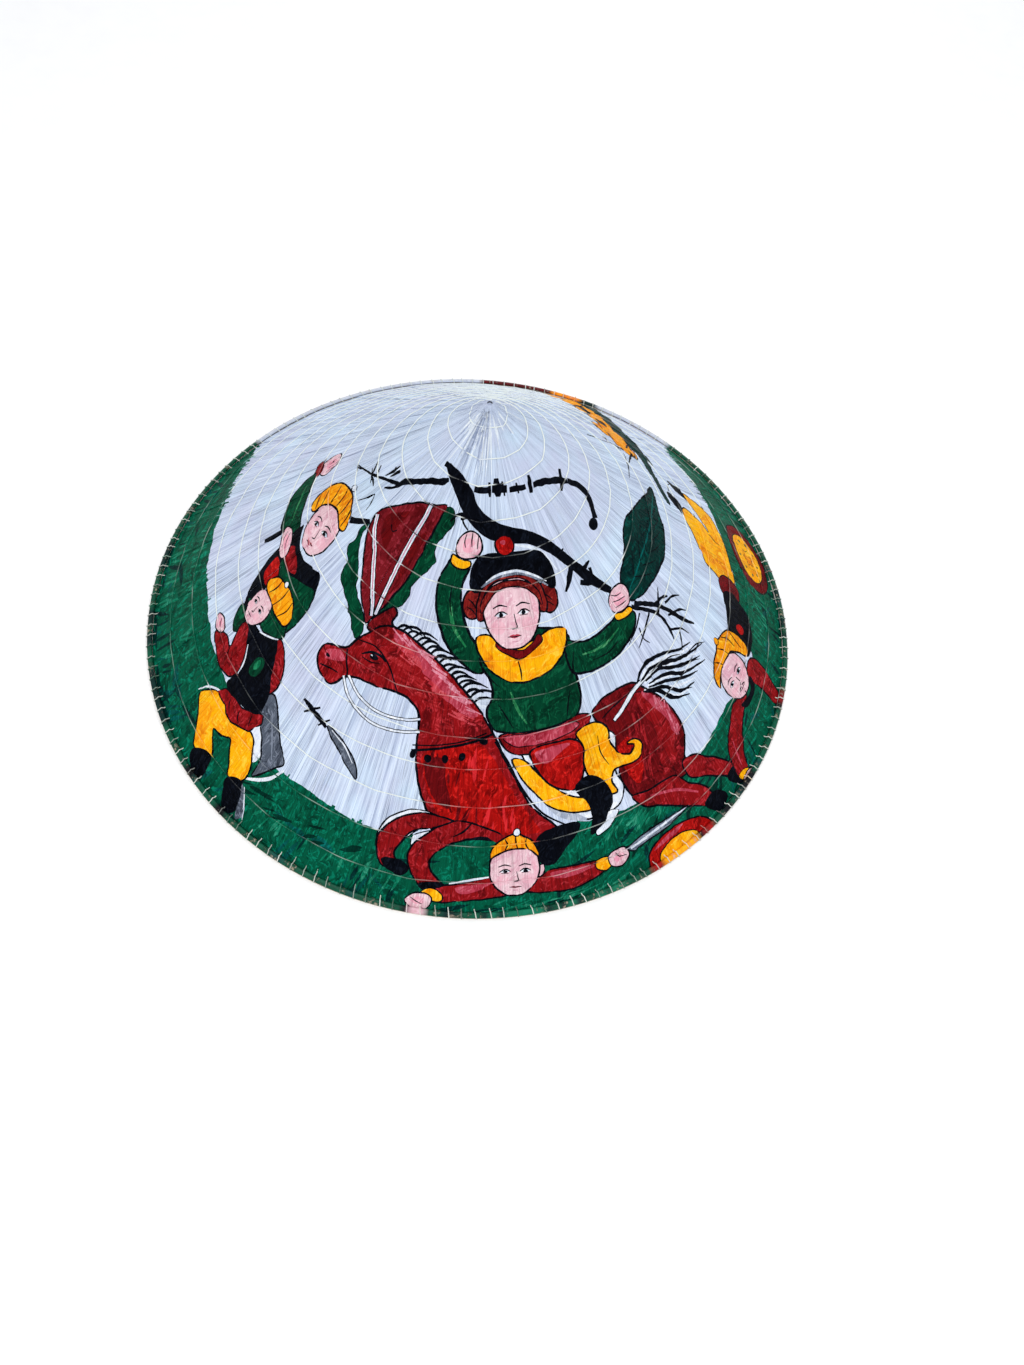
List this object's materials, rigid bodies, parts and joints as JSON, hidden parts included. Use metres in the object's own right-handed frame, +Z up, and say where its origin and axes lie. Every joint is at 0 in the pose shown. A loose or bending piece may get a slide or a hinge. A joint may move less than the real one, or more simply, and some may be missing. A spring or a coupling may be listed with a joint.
{
  "type": "conical hat",
  "caption": "Conical palm-leaf sun hat: leaf segments sewn over bamboo hoops, whipped rim, painted top and a swinging chin strap.",
  "frame": {"origin": "centre of the rim circle, on the plane the rim rests on", "axes": "+Z up through the apex; -Y is the front of the painted design; the strap loops and the strap's swing axis lie along X"},
  "size_m": [0.41, 0.41, 0.1845],
  "materials": {
    "bamboo": "split bamboo strip, dry and lightly polished",
    "painted_leaf": "bleached palm leaf under thin glossy acrylic paint",
    "lining_leaf": "plain dried palm leaf, satin",
    "thread": "fine nylon sewing thread",
    "ribbon": "satin ribbon"
  },
  "bodies": {
    "hat": {"hoop_01": "bamboo", "hoop_02": "bamboo", "hoop_03": "bamboo", "hoop_04": "bamboo", "hoop_05": "bamboo", "hoop_06": "bamboo", "hoop_07": "bamboo", "hoop_08": "bamboo", "hoop_09": "bamboo", "hoop_10": "bamboo", "hoop_11": "bamboo", "hoop_12": "bamboo", "hoop_13": "bamboo", "hoop_14": "bamboo", "rim_hoop_outer": "bamboo", "rim_hoop_inner": "bamboo", "leaf_01": "painted_leaf", "leaf_02": "painted_leaf", "leaf_03": "painted_leaf", "leaf_04": "painted_leaf", "leaf_05": "painted_leaf", "leaf_06": "painted_leaf", "leaf_07": "painted_leaf", "leaf_08": "painted_leaf", "leaf_09": "painted_leaf", "leaf_10": "painted_leaf", "leaf_11": "painted_leaf", "leaf_12": "painted_leaf", "leaf_13": "painted_leaf", "leaf_14": "painted_leaf", "leaf_15": "painted_leaf", "leaf_16": "painted_leaf", "lining_leaf_01": "lining_leaf", "lining_leaf_02": "lining_leaf", "lining_leaf_03": "lining_leaf", "lining_leaf_04": "lining_leaf", "lining_leaf_05": "lining_leaf", "lining_leaf_06": "lining_leaf", "lining_leaf_07": "lining_leaf", "lining_leaf_08": "lining_leaf", "stitch_row_01": "thread", "stitch_row_02": "thread", "stitch_row_03": "thread", "stitch_row_04": "thread", "stitch_row_05": "thread", "stitch_row_06": "thread", "stitch_row_07": "thread", "stitch_row_08": "thread", "stitch_row_09": "thread", "stitch_row_10": "thread", "stitch_row_11": "thread", "stitch_row_12": "thread", "stitch_row_13": "thread", "stitch_row_14": "thread", "rim_whipping": "thread", "apex_gather": "painted_leaf", "strap_loop_left": "thread", "strap_loop_right": "thread"},
    "strap": {"chin_strap": "ribbon"}
  },
  "joints": [
    {"name": "chin_strap_swing", "type": "hinge", "parent": "hat", "child": "strap", "pos_m": [0, 0, 0.0354], "axis": [1, 0, 0], "range_deg": [0, 180]}
  ]
}
